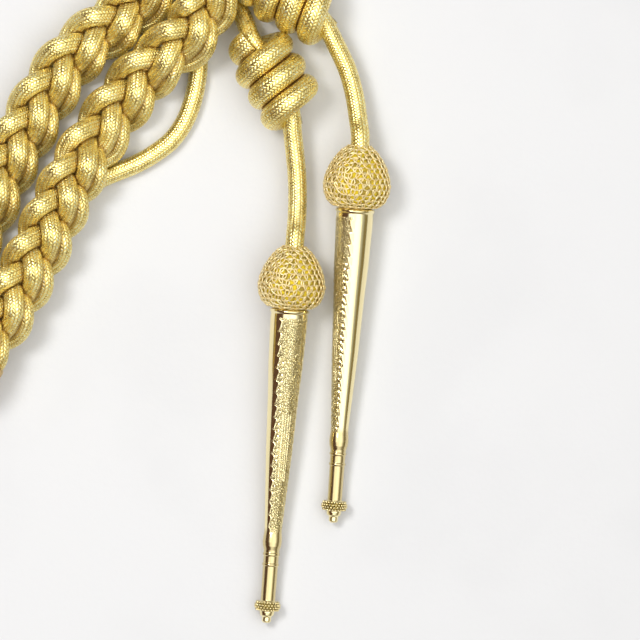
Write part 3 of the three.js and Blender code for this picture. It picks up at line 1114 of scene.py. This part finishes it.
@dataclass(frozen=True)
class Tag:
    """An engraved brass needle: one turned body with an ornamented strip, and a beaded button.

    The strip faces an angle round the axis, and the mesh is denser over it.
    """

    name: str
    axis: TagAxis
    facing: float
    strip: float = math.radians(62)
    crowding: float = 0.55
    below_cap: float = 0.3
    bead_count: int = 24
    bead: float = 0.37
    sides: int = 160
    step: float = 0.33

    def build(self, sheet: Sheet, brass: Material) -> list[Piece]:
        """Makes the needle and the beads of its button."""
        start, length = CAP_LENGTH + self.below_cap, TAG_LENGTH - self.below_cap
        row_shares = [row[0] for row in (*TAG_ROWS, *BUTTON_ROWS)]
        share = np.unique(np.concatenate([np.linspace(0, 1, int(length / self.step)), row_shares]))
        body, button = turned(TAG_ROWS, RIM_RADIUS, share), turned(BUTTON_ROWS, BUTTON_RADIUS, share)
        radius = np.where(share < BUTTON_ROWS[0][0], body, button)
        even = 2 * np.pi * np.arange(self.sides) / self.sides
        turn = self.facing + even - self.crowding * np.sin(even)
        from_middle = (turn[None] - self.facing + np.pi) % (2 * np.pi) - np.pi
        height, mark = Engraving().relief(share[:, None] * TAG_LENGTH, from_middle / self.strip)
        first_row, last_row = BEAD_ROWS[0][0], BEAD_ROWS[-1][0]
        mark[(share > first_row - 0.004) & (share < last_row + 0.002)] = TARNISHED
        s = start + share * length
        data = MeshData()
        data.add_tube(sheet.place(self.axis.ring(s, radius[:, None] + height, turn)), s, marks=mark)
        needle = data.build(f"{self.name}_needle", brass)
        beads = beaded(f"{self.name}_button", sheet.place(self.beads(start, length)), self.bead * MM, brass)
        return [stand_for(piece, self.name) for piece in (needle, beads)]

    def beads(self, start: float, length: float) -> Points:
        """The middles of the button's beads, on the sheet."""
        top, heading, across, above = self.axis.frame()
        places = []
        for k, (share, out) in enumerate(BEAD_ROWS):
            for j in range(self.bead_count):
                angle = 2 * np.pi * (j + 0.5 * (k % 2)) / self.bead_count
                direction = above * math.cos(angle) + across * math.sin(angle)
                places.append(top + heading * (start + share * length) + direction * out * BUTTON_RADIUS)
        return np.array(places)


def beaded(name: str, places: Points, radius: float, material: Material) -> Piece:
    """Sets small round beads on points with Geometry Nodes.

    Args:
        name: the object's name.
        places: the beads' middles.
        radius: a bead's radius.
        material: the beads' material.

    Returns:
        The beads, as one mesh.
    """
    mesh = bpy.data.meshes.new(name)
    mesh.from_pydata(places.tolist(), [], [])
    piece = placed(name, mesh)
    g = GeometryGraph(f"{name}_beads", {"Bead Radius": "NodeSocketFloat"})
    bead = g.add("GeometryNodeMeshIcoSphere", {"Radius": g.inputs["Bead Radius"], "Subdivisions": 2})
    spread = g.add("GeometryNodeInstanceOnPoints", {"Points": g.inputs["Geometry"], "Instance": bead})
    g.apply(spread, piece, {"Bead Radius": radius, "Material": material})
    return piece


@dataclass(frozen=True)
class EndBlock:
    """A plain padded end with round corners, across a plait's end."""

    name: str
    plait: Plait
    at_start: bool
    width: float
    height: float
    length: float
    aside: float
    corner: float
    gap: float = 0.3
    ease: float = 1.2
    corner_points: int = 13
    depths: tuple[float, ...] = (0.0, 0.02, 0.08, 0.2, 0.35, 0.5, 0.65, 0.8, 0.92, 0.98, 1.0)

    def build(self, sheet: Sheet, material: Material) -> Piece:
        """Makes the block and stands it for its CAD node."""
        plait = self.plait
        bight = plait.start if self.at_start else plait.end
        share = (np.array([bight]) - plait.first) / (len(plait.line) - 1)
        at = spline(plait.line, share)[0]
        along = unit(spline(plait.line, share + NUDGE)[0] - spline(plait.line, share - NUDGE)[0])
        outward = -along if self.at_start else along
        side = np.cross(UP, outward)
        depth = np.array(self.depths)
        insets = self.ease * (1 - np.sqrt(np.clip(1 - (np.abs(2 * depth - 1)) ** 8, 0, 1)))
        rings = []
        for share_in, inset in zip(depth, insets):
            outline = self.outline(inset)
            middle = at + side * self.aside + outward * (self.gap + share_in * self.length)
            rings.append(middle + side * outline[:, :1] + UP * outline[:, 1:])
        data = MeshData()
        data.add_tube(sheet.place(np.array(rings)), depth * self.length)
        around = lengths(np.vstack([self.outline(0.0), self.outline(0.0)[:1]]))[-1]
        data.uvs = [np.column_stack([uv[:, 0], uv[:, 1] * around]) for uv in data.uvs]
        face = [tuple(point) for point in self.outline(self.ease)]
        data.cap_uvs = [face[::-1], face]
        return stand_for(data.build(f"{self.name}_braid", material), self.name)

    def outline(self, inset: float) -> Points:
        """The block's outline, across and up, drawn in by an inset."""
        w, h, r = self.width / 2 - inset, self.height / 2 - inset, self.corner - inset
        points = []
        for k, (x, y) in enumerate(((w - r, -h + r), (w - r, h - r), (-w + r, h - r), (-w + r, -h + r))):
            for step in range(self.corner_points):
                angle = np.pi / 2 * (k - 1 + step / (self.corner_points - 1))
                points.append((x + r * math.cos(angle), y + r * math.sin(angle) + self.height / 2))
        return np.array(points)


# The scene


@dataclass(frozen=True)
class Studio:
    """The camera straight above the sheet, the pale floor and a soft light from the upper left.

    The picture's width is in millimetres on the sheet; distances are metres. A wall's height is the height of
    the direction in which it ends, 0 at the horizon and 1 overhead.
    """

    picture: float = 640 / 3
    distance: float = 3.0
    aim: tuple[float, ...] = (0.03, 0.02, 0.0)
    left_wall: float = 0.80
    right_wall: float = 0.40
    brown_wall: tuple[float, ...] = (0.11, 0.06, 0.045, 1.0)
    olive_wall: tuple[float, ...] = (0.24, 0.20, 0.11, 1.0)
    upper_wall: tuple[float, ...] = (0.40, 0.39, 0.37, 1.0)
    ceiling: tuple[float, ...] = (1.54, 1.54, 1.52, 1.0)
    floor_size: float = 12.0
    floor_steps: int = 24

    def camera(self, sheet: Sheet) -> None:
        """Sets the camera over the middle of the picture."""
        data = bpy.data.cameras.new("camera")
        data.lens = data.sensor_width * self.distance / (self.picture * MM)
        data.clip_end = 50.0
        camera = placed("camera", data)
        middle = sheet.place(np.array([self.picture / 2, -self.picture / 2, 0.0]))
        camera.location = (middle[0], middle[1], self.distance)
        bpy.context.scene.camera = camera

    def light(
        self, name: str, at: Sequence[float], size: float, power: float, colour: Sequence[float]
    ) -> None:
        """Adds a round area light that looks at the object's middle."""
        data = bpy.data.lights.new(name, "AREA")
        data.shape, data.size, data.energy, data.color = "DISK", size, power, colour
        lamp = placed(name, data)
        lamp.location = at
        lamp.rotation_euler = (Vector(self.aim) - Vector(at)).to_track_quat("-Z", "Y").to_euler()

    def world(self) -> None:
        """Sets a bright room above with dark walls, higher on the left, which polished metal mirrors."""
        world = bpy.data.worlds.new("room")
        bpy.context.scene.world = world
        g = ShaderGraph(world)
        side, _, height = g.axes(g.add("ShaderNodeTexCoord", {}, output="Generated"))
        wall_top = g.remap(side, -0.5, 0.35, self.left_wall, self.right_wall)
        room = g.mix(g.remap(height, 0.45, 0.93), self.upper_wall, self.ceiling)
        wall = g.mix(g.remap(side, -0.3, 0.3), self.brown_wall, self.olive_wall)
        over = g.remap(g.math("SUBTRACT", height, wall_top), -0.05, 0.05)
        light = g.add("ShaderNodeBackground", {"Color": g.mix(over, wall, room)})
        g.close("ShaderNodeOutputWorld", "Surface", light)

    def floor(self) -> None:
        """Lays the sheet under the object."""
        mesh = bpy.data.meshes.new("floor")
        steps = self.floor_steps
        xs = np.linspace(-self.floor_size / 2, self.floor_size / 2, steps)
        points = [(x, y, 0.0) for x in xs for y in xs]
        faces = [
            (i * steps + j, (i + 1) * steps + j, (i + 1) * steps + j + 1, i * steps + j + 1)
            for i in range(steps - 1)
            for j in range(steps - 1)
        ]
        mesh.from_pydata(points, [], faces)
        mesh.materials.append(FloorFinish().material())
        placed("floor", mesh)

    def lights(self) -> None:
        """Adds the soft key lamp and a weaker fill, and shows colours as they are."""
        self.light("key", (-0.34, 0.26, 1.05), 0.34, 5.15, (1.0, 0.985, 0.96))
        self.light("fill", (0.5, -0.3, 0.9), 0.8, 0.7, (0.97, 0.98, 1.0))
        bpy.context.scene.view_settings.view_transform = "Standard"


@dataclass(frozen=True)
class CordedTag:
    """A tail cord with its knot, net cap and tag."""

    side: str
    axis: TagAxis
    knot: Knot
    into_knot: tuple[tuple[float, float, float], ...]
    out_of_knot: tuple[tuple[float, float, float], ...]
    facing: float
    turns_inside: tuple[float, ...] = (-1.05, -0.2, 0.9, 1.65)

    def tail(self) -> SingleCord:
        """The tail cord, from the collar through the knot to the cap."""
        top, heading, _, _ = self.axis.frame()
        inside = tuple(self.knot.on_axis(turn) for turn in self.turns_inside)
        mouth, end = tuple(top - heading * CORD / 2), tuple(top + heading * INTO_CAP)
        return SingleCord(f"{self.side}_tail_cord", (*self.into_knot, *inside, *self.out_of_knot, mouth, end))


CORDED_TAGS = (
    CordedTag(
        side="left",
        axis=TagAxis(cap_top=(98.2, -82.4), tip=(88.7, -208.0)),
        knot=Knot("left_knot", at=(88.2, -20.4), heading=(0.512, -0.859)),
        into_knot=(
            (68.4, 18.6, ON_FLOOR),
            (68.8, 13.6, ON_FLOOR),
            (71.8, 7.4, ON_FLOOR),
            (75.6, 2.3, ON_FLOOR),
            (79.2, -2.6, 4.4),
            (81.7, -7.4, 7.6),
        ),
        out_of_knot=(
            (96.5, -35.5, 11.4),
            (97.2, -39.2, 11.1),
            (97.6, -44.6, 10.2),
            (98.3, -51.0, 9.2),
            (99.0, -58.4, 8.5),
            (99.2, -66.2, 8.7),
            (98.9, -74.2, 10.2),
        ),
        facing=math.radians(22),
    ),
    CordedTag(
        side="right",
        axis=TagAxis(cap_top=(119.8, -49.0), tip=(111.0, -174.3)),
        knot=Knot("right_knot", at=(90.8, 3.6), heading=(0.883, -0.469)),
        into_knot=(
            (75.8, 18.5, ON_FLOOR),
            (76.1, 14.9, ON_FLOOR),
            (78.7, 10.1, 4.7),
        ),
        out_of_knot=(
            (105.7, -5.0, 11.4),
            (108.2, -8.1, 11.1),
            (112.1, -15.6, 10.0),
            (115.7, -23.4, 9.1),
            (118.1, -32.0, 9.0),
            (119.4, -40.6, 10.2),
        ),
        facing=math.radians(-56),
    ),
)
PLAIN_LINE = (
    (61.2, 18.6), (61.5, 12.0), (63.3, 3.0), (65.2, -6.0), (66.1, -14.5), (66.2, -22.0), (65.5, -28.3),
    (63.9, -34.9), (61.2, -41.3), (57.0, -47.0), (51.3, -51.4), (45.7, -54.6), (40.0, -57.0),
    (34.8, -59.1), (29.8, -62.0), (25.0, -66.4), (20.6, -72.4), (15.6, -80.6), (10.2, -89.8),
    (4.6, -99.2), (-1.6, -108.0), (-7.6, -116.2),
)
PLAIN_ROUTE = tuple((x, y, ON_FLOOR) for x, y in PLAIN_LINE)
OUTER_PLAIT = Plait("outer_plait", OUTER_LINE, first=-2, start=-1.5, end=10, ride_height=6.5)
INNER_PLAIT = Plait("inner_plait", INNER_LINE, first=-1, start=-0.35, end=9)
END_BLOCKS = (
    EndBlock("outer_collar", OUTER_PLAIT, True, width=26, height=25.6, length=10, aside=-1.2, corner=9),
    EndBlock("inner_collar", INNER_PLAIT, True, width=19, height=15.8, length=6, aside=-0.9, corner=6),
    EndBlock("shoulder_band", OUTER_PLAIT, False, width=43, height=25.6, length=12, aside=-8.4, corner=9),
)


def main() -> None:
    """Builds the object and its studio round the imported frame."""
    logging.basicConfig(level=logging.INFO, format="%(name)s: %(message)s")
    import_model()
    sheet = Sheet.from_frame()
    studio = Studio()
    studio.camera(sheet)

    cord = CordFinish("gold_cord").material()
    plaited = CordFinish("plaited_cord", columns=18, pitch=0.95, depth=0.00015, glints=0.5).material()
    wraps = CordFinish("knot_cord", columns=20, pitch=0.95, depth=0.00014, glints=0.5).material()
    core, wire = SilkFinish().material(), WireFinish().material()
    brass, braid = BrassFinish().material(), BraidFinish().material()

    tails = [(tag, tag.tail()) for tag in CORDED_TAGS]
    plain = SingleCord("plain_cord", PLAIN_ROUTE)
    plain.declare(plain.build(sheet, cord), sheet, "object")
    for tag, tail in tails:
        piece = tail.build(sheet, cord)
        wrapped = tag.knot.build(sheet, wraps)
        cap = NetCap(f"{tag.side}_net_cap", tag.axis).build(sheet, core, wire)
        needle = Tag(f"{tag.side}_tag", tag.axis, tag.facing).build(sheet, brass)
        tail.declare(piece, sheet, "fitting", [wrapped, *cap, *needle])

    for plait in (OUTER_PLAIT, INNER_PLAIT):
        plait.build(sheet, plaited)
    for block in END_BLOCKS:
        block.build(sheet, braid)

    studio.floor()
    studio.world()
    studio.lights()


if __name__ == "__main__":
    main()
